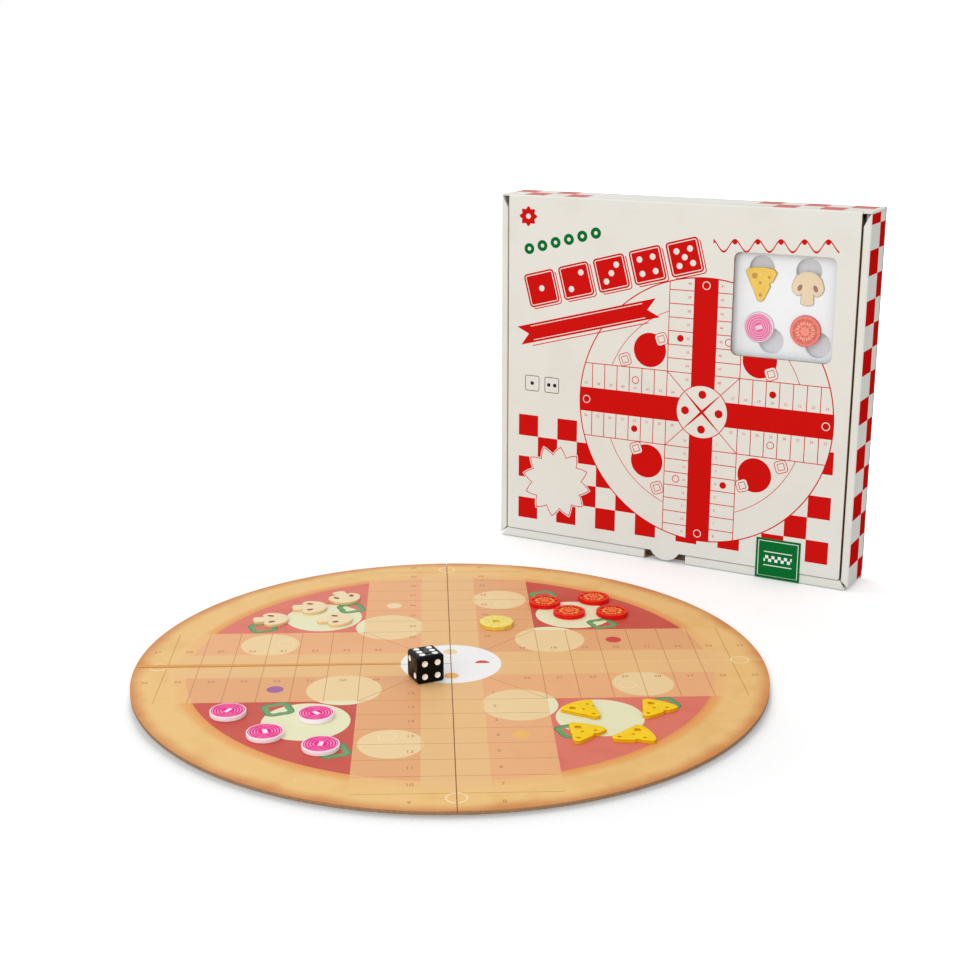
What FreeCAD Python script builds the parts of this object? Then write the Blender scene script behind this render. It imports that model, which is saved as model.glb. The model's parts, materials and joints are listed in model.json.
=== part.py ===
import FreeCAD, Part
import math
import os

Vector = FreeCAD.Vector
Z_AXIS = Vector(0, 0, 1)
ORIGIN = Vector(0, 0, 0)

# Board: a round sheet in four hinged quarters, lying on the table
board_radius = 200.0
board_core_thickness = 2.1
board_paper_thickness = 0.2
fold_gap = 0.3
slit_gap = 0.8

# Playing pieces and die
token_size = 22.0
tomato_height = 3.0
onion_height = 2.8
cheese_height = 2.2
mushroom_height = 2.0
pineapple_height = 2.8
relief = 0.6
die_size = 18.0

# Carton: corrugated sheet, lying flat here with its lid up, then stood on its front wall
sheet = 1.8
carton_spare_width = 86.0
carton_spare_length = 73.0
carton_depth = 37.0
side_roll_gap = 2.0
front_roll_gap = 3.4
roll_drop = 0.3
roll_round = 1.2
mitre_slit = 0.9
mitre_spread = 8.0
lid_side_gap = 1.2
lid_front_gap = 0.6
flap_clearance = 1.8
hinge_gap = 0.2
flap_depth = 24.0
thumb_tab_width = 23.0
thumb_notch_width = 34.0
thumb_notch_depth = 8.0
window_width = 75.0
window_height = 75.0
window_radius = 5.0
window_right_margin = 15.2
window_top_margin = 32.5
film_thickness = 0.3
film_border = 8.0
label_width = 34.0
label_height = 31.0
label_thickness = 0.2
label_right_margin = 29.5
tray_wall = 0.8
tray_below_lid = 4.7
pocket_depth = 1.2
pocket_clearance = 0.6
well_clearance = 2.0
finger_radius = 9.4
finger_depth = 5.0

# Where the carton stands: its front left foot in board radii from the board's middle, and its turn
carton_foot = (0.223, 1.404)
carton_turn = -31.0

# Derived sizes
board_thickness = board_core_thickness + 2 * board_paper_thickness
carton_width = board_radius + carton_spare_width
carton_length = board_radius + carton_spare_length
side_wall = 2 * sheet + side_roll_gap
front_wall = 2 * sheet + front_roll_gap
crease_round = 0.8 * sheet
lid_left = side_wall + lid_side_gap
lid_right = carton_width - lid_left
lid_front = front_wall + lid_front_gap
flap_front = front_wall + flap_clearance
lid_back = carton_length - hinge_gap
lid_under = carton_depth - sheet
wall_top = carton_depth - roll_drop
tray_left = lid_left + 2 * sheet
tray_right = carton_width - tray_left
tray_front = flap_front + sheet + flap_clearance + film_thickness
tray_back = carton_length - 2 * sheet
tray_top = lid_under - tray_below_lid
well_radius = board_radius + well_clearance
well_depth = 4 * board_thickness + well_clearance / 2
window_right = lid_right - window_right_margin
window_left = window_right - window_width
window_top = lid_back - window_top_margin
window_bottom = window_top - window_height

# Token places on the board, in board radii, with the turn of each piece in degrees
mushroom_places = ((-0.608, 0.399, 278), (-0.484, 0.514, 274), (-0.370, 0.613, 205), (-0.390, 0.392, 276))
tomato_places = ((0.339, 0.537, 10), (0.515, 0.572, 55), (0.416, 0.433, 30), (0.564, 0.428, 75))
onion_places = ((-0.662, -0.372, 60), (-0.539, -0.523, 105), (-0.402, -0.399, 130), (-0.375, -0.611, 80))
cheese_places = ((0.392, -0.397, 124), (0.592, -0.397, 57), (0.366, -0.557, 67), (0.502, -0.575, 18))
pineapple_place = (0.160, 0.339, 0)
die_place = (-0.080, -0.116, 22.5)


def block(x0, x1, y0, y1, z0, z1):
    return Part.makeBox(x1 - x0, y1 - y0, z1 - z0, Vector(x0, y0, z0))


def upright_edges(solid):
    """Edges of a prism that run straight up."""
    found = []
    for edge in solid.Edges:
        ends = [vertex.Point for vertex in edge.Vertexes]
        if len(ends) == 2:
            across = math.hypot(ends[1].x - ends[0].x, ends[1].y - ends[0].y)
            if across < 1e-6:
                found.append(edge)
    return found


def rounded_block(x0, x1, y0, y1, z0, z1, radius):
    solid = block(x0, x1, y0, y1, z0, z1)
    return solid.makeFillet(radius, upright_edges(solid))


def flat_face(edges):
    return Part.Face(Part.Wire(Part.__sortEdges__(edges)))


def polygon_prism(points, push):
    """Flat outline through the points, pushed out along the vector."""
    return Part.Face(Part.makePolygon(points + points[:1])).extrude(push)


def disc(radius, x, y, z0, z1):
    return Part.makeCylinder(radius, z1 - z0, Vector(x, y, z0))


def turned(shape, degrees, x, y, z):
    """Copy of a shape turned about its own upright axis and set down at a place."""
    copy = shape.copy()
    copy.rotate(ORIGIN, Z_AXIS, degrees)
    copy.translate(Vector(x, y, z))
    return copy


# Playing pieces, each with its base on z = 0 and its middle on the upright axis

def tomato_outline():
    return flat_face([Part.Circle(ORIGIN, Z_AXIS, token_size / 2).toShape()])


def make_tomato():
    """Slice with a raised rim, a core with spokes, and two seeds in each pocket."""
    floor = tomato_height - relief
    core_radius = token_size * 0.15
    flesh_radius = token_size * 0.405
    spoke_half = token_size * 0.017
    pocket_count = 8
    pocket_angle = 360 / pocket_count
    flesh = disc(flesh_radius, 0, 0, floor, tomato_height).cut(disc(core_radius, 0, 0, floor, tomato_height))
    spoke = block(0, flesh_radius, -spoke_half, spoke_half, floor, tomato_height)
    spokes = [turned(spoke, index * pocket_angle, 0, 0, 0) for index in range(pocket_count)]
    body = tomato_outline().extrude(Vector(0, 0, tomato_height)).cut(flesh.cut(spokes))
    seed_ring = token_size * 0.265
    seed_outline = Part.Ellipse(ORIGIN, token_size * 0.07, token_size * 0.026).toShape()
    seed = flat_face([seed_outline]).extrude(Vector(0, 0, relief * 1.2))
    seed.translate(Vector(seed_ring, 0, floor - relief / 2))
    seeds = []
    for index in range(pocket_count):
        for share in (0.3, 0.7):
            seeds.append(turned(seed, (index + share) * pocket_angle, 0, 0, 0))
    return body.fuse(seeds).removeSplitter()


def onion_outline():
    return flat_face([Part.Circle(ORIGIN, Z_AXIS, token_size * 0.49).toShape()])


def make_onion():
    """Slice with ring grooves round a short slot."""
    body = onion_outline().extrude(Vector(0, 0, onion_height))
    groove = token_size * 0.026
    depth = onion_height - relief / 2
    cuts = []
    for share in (0.19, 0.27, 0.345, 0.415):
        outer = disc(token_size * share + groove / 2, 0, 0, depth, onion_height)
        cuts.append(outer.cut(disc(token_size * share - groove / 2, 0, 0, depth, onion_height)))
    slot_length = token_size * 0.13
    slot_width = token_size * 0.065
    cuts.append(block(-slot_length, slot_length, -slot_width, slot_width, depth, onion_height))
    return body.cut(cuts)


def mushroom_outline():
    """Cap with two curled lobes over a stem, stem towards -Y, in shares of the token's size."""

    def at(x, y):
        return Vector(x * token_size, y * token_size, 0)

    def arc(start, middle, end):
        return Part.Arc(at(*start), at(*middle), at(*end)).toShape()

    def line(start, end):
        return Part.makeLine(at(*start), at(*end))

    return flat_face([
        arc((-0.5, 0.12), (0, 0.54), (0.5, 0.12)),
        arc((0.5, 0.12), (0.475, -0.13), (0.35, -0.23)),
        arc((0.35, -0.23), (0.26, -0.225), (0.195, -0.14)),
        line((0.195, -0.14), (0.205, -0.5)),
        arc((0.205, -0.5), (0, -0.55), (-0.205, -0.5)),
        line((-0.205, -0.5), (-0.195, -0.14)),
        arc((-0.195, -0.14), (-0.26, -0.225), (-0.35, -0.23)),
        arc((-0.35, -0.23), (-0.475, -0.13), (-0.5, 0.12)),
    ])


def make_mushroom():
    """Slice with an oval gill dent on each side above the stem."""
    body = mushroom_outline().extrude(Vector(0, 0, mushroom_height))
    lean = 25
    floor = mushroom_height - relief
    oval = Part.Ellipse(ORIGIN, token_size * 0.115, token_size * 0.07).toShape()
    dent = flat_face([oval]).extrude(Vector(0, 0, relief))
    dent_x = token_size * 0.26
    dent_y = token_size * 0.01
    right = turned(dent, 90 + lean, dent_x, dent_y, floor)
    left = turned(dent, 90 - lean, -dent_x, dent_y, floor)
    return body.cut([right, left])


def cheese_outline():
    """Wedge with a blunt tip towards -X, a cut-cornered back and a bite in each side."""

    def at(x, y):
        return Vector(x * token_size, y * token_size, 0)

    back = Part.Arc(at(0.52, -0.43), at(0.58, 0), at(0.52, 0.43)).toShape()
    tip = Part.Arc(at(-0.48, 0.1), at(-0.52, 0), at(-0.48, -0.1)).toShape()
    sides = [
        Part.makeLine(at(0.52, 0.43), at(0.42, 0.525)),
        Part.makeLine(at(0.42, 0.525), at(-0.48, 0.1)),
        Part.makeLine(at(-0.48, -0.1), at(0.42, -0.525)),
        Part.makeLine(at(0.42, -0.525), at(0.52, -0.43)),
    ]
    wedge = flat_face([back, tip] + sides)
    for x, y, share in ((0.04, -0.365, 0.085), (-0.22, 0.255, 0.065)):
        bite = Part.Circle(at(x, y), Z_AXIS, token_size * share).toShape()
        wedge = wedge.cut(flat_face([bite]))
    return wedge.Faces[0]


def make_cheese():
    """Wedge with round dents in its top."""
    body = cheese_outline().extrude(Vector(0, 0, cheese_height))
    dents = []
    for x, y, share in ((0.30, 0.22, 0.095), (0.27, -0.27, 0.05), (0.08, 0.02, 0.045), (-0.32, 0.0, 0.055)):
        dents.append(disc(token_size * share, x * token_size, y * token_size,
                          cheese_height - relief, cheese_height))
    return body.cut(dents)


def make_pineapple():
    """Scalloped ring slice with a dented middle and radial grooves."""
    lobes = 11
    lobe_ring = token_size * 0.40
    lobe_radius = token_size * 0.125
    body = disc(token_size * 0.505, 0, 0, 0, pineapple_height)
    rounds = []
    grooves = []
    groove_width = token_size * 0.009
    groove_floor = pineapple_height - relief / 3
    for index in range(lobes):
        angle = math.radians(index * 360 / lobes)
        x = lobe_ring * math.cos(angle)
        y = lobe_ring * math.sin(angle)
        rounds.append(disc(lobe_radius, x, y, 0, pineapple_height))
        groove = block(token_size * 0.2, token_size * 0.42, -groove_width, groove_width,
                       groove_floor, pineapple_height)
        grooves.append(turned(groove, (index + 0.5) * 360 / lobes, 0, 0, 0))
    body = body.fuse(rounds).removeSplitter()
    hole = disc(token_size * 0.13, 0, 0, pineapple_height - 2 * relief, pineapple_height)
    return body.cut(grooves + [hole])


def make_die():
    """Cube with soft edges and dimpled pips, six on top, four in front and two on the left."""
    half = die_size / 2
    edge_round = die_size * 0.11
    pip_radius = die_size * 0.108
    pip_depth = die_size * 0.032
    ball = (pip_radius ** 2 + pip_depth ** 2) / (2 * pip_depth)
    out = half + ball - pip_depth
    wide = die_size * 0.235
    long = die_size * 0.27
    cube = block(-half, half, -half, half, -half, half)
    cube = cube.makeFillet(edge_round, cube.Edges)
    pips = []
    pips += [(x, y, out) for x in (-wide, wide) for y in (-long, 0, long)]
    pips += [(0, 0, -out)]
    pips += [(x, -out, z) for x in (-wide, wide) for z in (-wide, wide)]
    pips += [(step, out, step) for step in (-wide, 0, wide)]
    pips += [(-out, step, step) for step in (-wide, wide)]
    pips += [(out, y, z) for y in (-wide, wide) for z in (-wide, wide)] + [(out, 0, 0)]
    cube = cube.cut([Part.makeSphere(ball, Vector(*spot)) for spot in pips])
    cube.translate(Vector(0, 0, half))
    return cube


# Board quarters

def quarter(x_side, y_side, x_gap, y_gap, z0, z1):
    """Quarter of the round board on the given sides of the fold lines."""
    whole = disc(board_radius, 0, 0, z0, z1)
    near_x, far_x = sorted((x_side * x_gap / 2, x_side * board_radius * 2))
    near_y, far_y = sorted((y_side * y_gap / 2, y_side * board_radius * 2))
    return whole.common(block(near_x, far_x, near_y, far_y, z0, z1))


def board_nodes():
    """Each quarter is a lining paper, a greyboard core and a printed face paper."""
    nodes = {}
    core_bottom = board_paper_thickness
    core_top = core_bottom + board_core_thickness
    layers = (("back", 0, core_bottom), ("core", core_bottom, core_top), ("face", core_top, board_thickness))
    corners = (("rear_left", -1, 1), ("rear_right", 1, 1), ("front_left", -1, -1), ("front_right", 1, -1))
    for name, x_side, y_side in corners:
        # The left halves part along a slit, and the other three lines are folds
        y_gap = slit_gap if x_side < 0 else fold_gap
        for layer, z0, z1 in layers:
            nodes[f"board_{layer}_{name}"] = quarter(x_side, y_side, fold_gap, y_gap, z0, z1)
    return nodes


def set_out(shape, name, places):
    nodes = {}
    for index, (x, y, degrees) in enumerate(places, 1):
        spot = (x * board_radius, y * board_radius, board_thickness)
        nodes[f"{name}_{index}"] = turned(shape, degrees, *spot)
    return nodes


# Carton, lying flat with its front along y = 0 and its lid up

def rolled_wall(gap, length):
    """Double wall folded over a flat top edge, thickness along X and length along Y."""
    across = 2 * sheet + gap
    bend = wall_top - roll_round
    half_turn = roll_round * math.sqrt(0.5)
    foot = sheet

    def at(x, z):
        return Vector(x, 0, z)

    def path(*points):
        return [Part.makeLine(start, end) for start, end in zip(points, points[1:])]

    left_bend = Part.Arc(at(0, bend), at(roll_round - half_turn, bend + half_turn), at(roll_round, wall_top))
    right_bend = Part.Arc(at(across - roll_round, wall_top),
                          at(across - roll_round + half_turn, bend + half_turn), at(across, bend))
    top = path(at(roll_round, wall_top), at(across - roll_round, wall_top))
    inside = path(at(across, bend), at(across, foot), at(across - sheet, foot),
                  at(across - sheet, wall_top - sheet), at(sheet, wall_top - sheet),
                  at(sheet, foot), at(0, foot), at(0, bend))
    section = flat_face([left_bend.toShape(), right_bend.toShape()] + top + inside)
    return section.extrude(Vector(0, length, 0))


def mitre_cutter(keep_front):
    """Block on one side of the slit between the front wall and the left wall, wider at the corner."""
    along = Vector(side_wall, front_wall, 0).normalize()
    across = Vector(along.y, -along.x, 0)
    if keep_front:
        across = across * -1
    spread = math.radians(mitre_spread)
    line = along * math.cos(spread) + across * math.sin(spread)
    reach = 4 * front_wall
    start = Vector(side_wall, front_wall, 0) - across * (mitre_slit / 2)
    corners = [
        start - line * reach,
        start + line * reach,
        start + line * reach + across * reach,
        start - line * reach + across * reach,
    ]
    return polygon_prism(corners, Vector(0, 0, carton_depth))


def mirrored(shape):
    """The same piece on the carton's other side."""
    return shape.mirror(Vector(carton_width / 2, 0, 0), Vector(1, 0, 0))


def side_wall_piece():
    """Left side wall, mitred at the front, with its rolled edge cut slanting beside the lid's hinge."""
    wall = rolled_wall(side_roll_gap, carton_length - sheet)
    wall = wall.cut(mitre_cutter(keep_front=False))
    cut_depth = 4 * sheet
    cut_length = 5 * sheet
    kept_outside = sheet / 2
    end = carton_length - sheet
    low = wall_top - cut_depth
    notch = polygon_prism([
        Vector(kept_outside, end, low),
        Vector(side_wall, end - cut_length, low),
        Vector(side_wall + sheet, end - cut_length, low),
        Vector(side_wall + sheet, end + sheet, low),
        Vector(kept_outside, end + sheet, low),
    ], Vector(0, 0, carton_depth))
    return wall.cut(notch)


def front_wall_piece():
    """Front wall with both ends mitred and the thumb notch in its rolled edge."""
    wall = rolled_wall(front_roll_gap, carton_width)
    wall.rotate(ORIGIN, Z_AXIS, 90)
    wall.translate(Vector(carton_width, 0, 0))
    cutter = mitre_cutter(keep_front=True)
    middle = carton_width / 2
    top = thumb_notch_width / 2
    bottom = top - sheet * 2
    floor = wall_top - thumb_notch_depth
    notch = polygon_prism([
        Vector(middle - top, -1, carton_depth),
        Vector(middle - bottom, -1, floor),
        Vector(middle + bottom, -1, floor),
        Vector(middle + top, -1, carton_depth),
    ], Vector(0, front_wall * 2, 0))
    return wall.cut([cutter, mirrored(cutter), notch])


def corner_flap():
    """Flap of the left side wall, held inside the rolled front wall."""
    play = (front_roll_gap - sheet) / 2
    start = side_wall + play
    low = sheet + play
    top = wall_top - front_wall
    end = carton_width * 0.22
    corners = [
        Vector(start, sheet + play, low),
        Vector(end, sheet + play, low),
        Vector(end - flap_depth / 3, sheet + play, top),
        Vector(start, sheet + play, top),
    ]
    return polygon_prism(corners, Vector(0, sheet, 0))


def lid_panel():
    """Lid with rounded front corners, a soft crease at its hinge, the window and the thumb tab."""
    plate = block(lid_left, lid_right, lid_front, lid_back, lid_under, carton_depth)
    crease = max(plate.Edges, key=lambda edge: edge.CenterOfMass.y + edge.CenterOfMass.z)
    plate = plate.makeFillet(crease_round, [crease])
    front_edges = [edge for edge in upright_edges(plate) if edge.CenterOfMass.y < carton_length / 2]
    plate = plate.makeFillet(sheet, front_edges)
    middle = carton_width / 2
    half = thumb_tab_width / 2
    reach = lid_front - flap_clearance / 2
    left = Vector(middle - half, lid_front, lid_under)
    right = Vector(middle + half, lid_front, lid_under)
    nose = Part.Arc(left, Vector(middle, lid_front - reach, lid_under), right).toShape()
    tab = flat_face([nose, Part.makeLine(right, left)]).extrude(Vector(0, 0, sheet))
    opening = rounded_block(window_left, window_right, window_bottom, window_top,
                            lid_under - 1, carton_depth + 1, window_radius)
    return plate.fuse(tab).removeSplitter().cut(opening)


def tuck_flap():
    """Flap under the lid's front edge, narrower at its free edge."""
    taper = flap_depth * 0.6
    inset = lid_side_gap + 2 * sheet
    low = lid_under - flap_depth
    corners = [
        Vector(lid_left + inset, flap_front, lid_under),
        Vector(lid_right - inset, flap_front, lid_under),
        Vector(lid_right - inset - taper, flap_front, low),
        Vector(lid_left + inset + taper, flap_front, low),
    ]
    return polygon_prism(corners, Vector(0, sheet, 0))


def dust_flap():
    """Flap under the lid's left edge, cut slanting at both ends."""
    low = lid_under - flap_depth * 0.8
    corners = [
        Vector(lid_left, lid_front + flap_depth, lid_under),
        Vector(lid_left, lid_back - flap_depth, lid_under),
        Vector(lid_left, lid_back - 2 * flap_depth, low),
        Vector(lid_left, lid_front + 2 * flap_depth, low),
    ]
    return polygon_prism(corners, Vector(sheet, 0, 0))


def back_wall():
    """Back wall with its ends creased round to the side walls."""
    wall = block(0, carton_width, carton_length - sheet, carton_length, sheet, lid_under - hinge_gap)
    outer_ends = [edge for edge in upright_edges(wall) if edge.CenterOfMass.y > carton_length - sheet / 2]
    return wall.makeFillet(crease_round, outer_ends)


def sector(x, y, radius, z0, z1):
    return Part.makeCylinder(radius, z1 - z0, Vector(x, y, z0), Z_AXIS, 90)


def tray_pockets():
    """Place, outline, turn and finger recess offset of each token in the tray."""
    middle_x = (window_left + window_right) / 2
    middle_y = (window_bottom + window_top) / 2
    left = middle_x - window_width * 0.25
    right = middle_x + window_width * 0.21
    upper = middle_y + window_height * 0.185
    lower = middle_y - window_height * 0.22
    above = (0, token_size * 0.55)
    beside = (token_size * 0.42, -token_size * 0.42)
    return (
        ("cheese", make_cheese, cheese_outline, left, upper, 90, above),
        ("mushroom", make_mushroom, mushroom_outline, right, upper, 0, above),
        ("onion", make_onion, onion_outline, left, lower, 20, beside),
        ("tomato", make_tomato, tomato_outline, right, lower, 0, beside),
    )


def tray_piece():
    """Formed tray: thin shell with a quarter round well for the folded board, and token pockets."""
    corner = token_size * 0.36
    shell = rounded_block(tray_left, tray_right, tray_front, tray_back, sheet, tray_top, corner)
    inside = rounded_block(tray_left + tray_wall, tray_right - tray_wall, tray_front + tray_wall,
                           tray_back - tray_wall, 0, tray_top - tray_wall, corner - tray_wall)
    shell = shell.cut(inside)
    well_x = tray_left + 4 * tray_wall
    well_y = tray_front + 4 * tray_wall
    well_floor = tray_top - well_depth
    cups = [sector(well_x - tray_wall, well_y - tray_wall, well_radius + 2 * tray_wall,
                   well_floor - tray_wall, tray_top)]
    hollows = [sector(well_x, well_y, well_radius, well_floor, tray_top)]
    for name, make, outline, x, y, degrees, (finger_x, finger_y) in tray_pockets():
        floor = tray_top - pocket_depth
        inner = turned(outline().makeOffset2D(pocket_clearance), degrees, x, y, floor)
        outer = turned(outline().makeOffset2D(pocket_clearance + tray_wall), degrees, x, y, floor - tray_wall)
        cups.append(outer.extrude(Vector(0, 0, pocket_depth + tray_wall)))
        hollows.append(inner.extrude(Vector(0, 0, pocket_depth)))
        low = tray_top - finger_depth
        cups.append(disc(finger_radius + tray_wall, x + finger_x, y + finger_y, low - tray_wall, tray_top))
        hollows.append(disc(finger_radius, x + finger_x, y + finger_y, low, tray_top))
    return shell.fuse(cups).removeSplitter().cut(hollows)


def carton_nodes():
    left_wall = side_wall_piece()
    left_corner_flap = corner_flap()
    left_dust_flap = dust_flap()
    label_right = lid_right - label_right_margin
    film = rounded_block(window_left - film_border, window_right + film_border, window_bottom - film_border,
                         window_top + film_border, lid_under - film_thickness, lid_under, window_radius)
    label = block(label_right - label_width, label_right, hinge_gap, label_height,
                  carton_depth, carton_depth + label_thickness)
    nodes = {
        "box_base": block(0, carton_width, 0, carton_length, 0, sheet),
        "box_back_wall": back_wall(),
        "box_front_wall": front_wall_piece(),
        "box_left_wall": left_wall,
        "box_right_wall": mirrored(left_wall),
        "corner_flap_left": left_corner_flap,
        "corner_flap_right": mirrored(left_corner_flap),
        "lid_panel": lid_panel(),
        "lid_tuck_flap": tuck_flap(),
        "lid_dust_flap_left": left_dust_flap,
        "lid_dust_flap_right": mirrored(left_dust_flap),
        "window_film": film,
        "seal_label": label,
        "tray": tray_piece(),
    }
    for name, make, outline, x, y, degrees, finger in tray_pockets():
        nodes[f"tray_{name}"] = turned(make(), degrees, x, y, tray_top - pocket_depth)
    return nodes


def stand_up(shape):
    """Turn a carton piece so that the front wall is underneath and the lid faces the board."""
    turn = math.radians(carton_turn)
    outward = Vector(math.sin(turn), -math.cos(turn), 0)
    foot = Vector(carton_foot[0] * board_radius, carton_foot[1] * board_radius, 0)
    copy = shape.copy()
    copy.rotate(ORIGIN, Vector(1, 0, 0), 90)
    copy.rotate(ORIGIN, Z_AXIS, carton_turn)
    copy.translate(foot - outward * carton_depth)
    return copy


def footprint_middle(shapes):
    """Middle of the whole set's footprint on the table."""
    bounds = FreeCAD.BoundBox()
    for shape in shapes:
        bounds.add(shape.BoundBox)
    return Vector(bounds.Center.x, bounds.Center.y, 0)


nodes = board_nodes()
nodes.update(set_out(make_mushroom(), "mushroom", mushroom_places))
nodes.update(set_out(make_tomato(), "tomato", tomato_places))
nodes.update(set_out(make_onion(), "onion", onion_places))
nodes.update(set_out(make_cheese(), "cheese", cheese_places))
pineapple_x, pineapple_y, pineapple_turn = pineapple_place
die_x, die_y, die_turn = die_place
nodes["pineapple"] = turned(make_pineapple(), pineapple_turn, pineapple_x * board_radius,
                            pineapple_y * board_radius, board_thickness)
nodes["die"] = turned(make_die(), die_turn, die_x * board_radius, die_y * board_radius, board_thickness)
for name, shape in carton_nodes().items():
    nodes[name] = stand_up(shape)

middle = footprint_middle(nodes.values())
os.makedirs("parts", exist_ok=True)
for name, shape in nodes.items():
    shape.translate(middle * -1)
    if len(shape.Solids) != 1 or not shape.isValid():
        raise ValueError(f"{name} is not one valid solid")
    shape.Solids[0].exportStep(f"parts/{name}.step")
print("board middle at", -middle.x, -middle.y, "nodes", len(nodes))
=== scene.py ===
import json
import math

import bmesh
import bpy
from mathutils import Matrix, Vector


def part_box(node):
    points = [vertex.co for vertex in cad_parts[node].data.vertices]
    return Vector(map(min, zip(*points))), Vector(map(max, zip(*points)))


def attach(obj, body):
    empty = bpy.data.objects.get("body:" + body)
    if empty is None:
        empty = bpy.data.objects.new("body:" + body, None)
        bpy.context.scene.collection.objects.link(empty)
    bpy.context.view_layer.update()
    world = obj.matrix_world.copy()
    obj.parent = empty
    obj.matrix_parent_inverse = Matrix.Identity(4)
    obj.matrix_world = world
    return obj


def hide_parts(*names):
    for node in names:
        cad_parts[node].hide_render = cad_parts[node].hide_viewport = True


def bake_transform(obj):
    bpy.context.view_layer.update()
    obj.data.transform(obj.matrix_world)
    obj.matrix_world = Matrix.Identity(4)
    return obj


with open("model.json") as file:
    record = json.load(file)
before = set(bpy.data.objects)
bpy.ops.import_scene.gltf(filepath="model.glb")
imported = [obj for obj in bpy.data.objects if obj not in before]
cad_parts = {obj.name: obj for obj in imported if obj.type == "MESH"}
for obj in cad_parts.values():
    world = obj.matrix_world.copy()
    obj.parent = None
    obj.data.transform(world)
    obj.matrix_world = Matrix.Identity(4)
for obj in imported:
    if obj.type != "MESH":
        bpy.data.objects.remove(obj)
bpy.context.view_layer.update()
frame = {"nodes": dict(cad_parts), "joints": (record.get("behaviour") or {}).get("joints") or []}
nodes = frame["nodes"]
joints = {joint["name"]: joint for joint in frame["joints"]}
MM = 0.001

# Board sizes and middle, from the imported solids
board_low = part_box("board_core_front_left")[0]
board_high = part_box("board_core_rear_right")[1]
board_middle = (board_low + board_high) / 2
board_middle.z = 0
board_place = Matrix.Translation(board_middle)
board_radius = (board_high.x - board_low.x) / 2 / MM
board_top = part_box("board_face_rear_left")[1].z
fold_gap = (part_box("board_face_rear_right")[0].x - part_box("board_face_rear_left")[1].x) / MM
quarters = ("rear_left", "rear_right", "front_left", "front_right")

# Print on the board, in millimetres from its middle
lane_half = 19.0
arm_half = 57.2
cell_count = 7
cell_pitch = (board_radius - arm_half) / cell_count
crust_inner = 166.0
home_radius = 32.0

# Playing pieces: place in board radii and turn in degrees, as they are set out
piece_places = {
    "mushroom": ((-0.608, 0.399, 278), (-0.484, 0.514, 274), (-0.370, 0.613, 205), (-0.390, 0.392, 276)),
    "tomato": ((0.339, 0.537, 10), (0.515, 0.572, 55), (0.416, 0.433, 30), (0.564, 0.428, 75)),
    "onion": ((-0.662, -0.372, 60), (-0.539, -0.523, 105), (-0.402, -0.399, 130), (-0.375, -0.611, 80)),
    "cheese": ((0.392, -0.397, 124), (0.592, -0.397, 57), (0.366, -0.557, 67), (0.502, -0.575, 18)),
}
pineapple_place = (0.160, 0.339, 0)
die_place = (-0.080, -0.116, 22.5)
tray_turns = {"cheese": 90, "mushroom": 0, "onion": 20, "tomato": 0}
token_size = 22.0
relief = 0.6
die_size = (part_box("die")[1].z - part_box("die")[0].z) / MM

# Camera, in metres from the board's middle, with the lens that gives the photograph's view
camera_place = Vector((-0.01335, -0.93037, 0.38193))
camera_pitch = math.radians(15.507)
camera_turn = math.radians(-1.961)
camera_lens = 58.74


def carton_frame():
    """Matrix from the flat carton's own axes (across, up the lid, out of the lid) to the room."""
    axis = joints["lid_open"]["axis"]
    turn = math.atan2(-axis[1], -axis[0])
    unturn = Matrix.Rotation(-turn, 4, "Z")
    corners = [unturn @ vertex.co for vertex in nodes["box_base"].data.vertices]
    left = min(corner.x for corner in corners)
    rear = max(corner.y for corner in corners)
    stand = Matrix.Translation((left, rear, 0)) @ Matrix.Rotation(math.radians(90), 4, "X")
    return Matrix.Rotation(turn, 4, "Z") @ stand


def piece_height(node):
    low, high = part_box(node)
    return (high.z - low.z) / MM


carton = carton_frame()
carton_inverse = carton.inverted()


def carton_box(node):
    """Lowest and highest corner of a node in the flat carton's axes, in millimetres."""
    spots = [carton_inverse @ vertex.co / MM for vertex in nodes[node].data.vertices]
    low = Vector([min(spot[axis] for spot in spots) for axis in range(3)])
    high = Vector([max(spot[axis] for spot in spots) for axis in range(3)])
    return low, high


carton_size = carton_box("box_base")[1]
lid_low, lid_high = carton_box("lid_panel")
lid_foot = carton_box("lid_tuck_flap")[0].y
carton_depth = lid_high.z
sheet_thickness = lid_high.z - lid_low.z
flute_pitch = 3.3


# Drawing with nodes

def ink(red, green, blue):
    """Linear colour from the 0 to 255 values of a screen."""
    def linear(value):
        share = value / 255
        return share / 12.92 if share <= 0.04045 else ((share + 0.055) / 1.055) ** 2.4
    return (linear(red), linear(green), linear(blue), 1.0)


def feed(tree, slot, value):
    """Link an input to a field or a socket, or set it to a plain value."""
    if isinstance(value, Field):
        value = value.socket
    if isinstance(value, bpy.types.NodeSocket):
        tree.links.new(value, slot)
    else:
        slot.default_value = value


def add_node(tree, kind, **inputs):
    """New node with its named inputs fed."""
    node = tree.nodes.new(kind)
    for label, value in inputs.items():
        feed(tree, node.inputs[label.replace("_", " ")], value)
    return node


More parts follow.
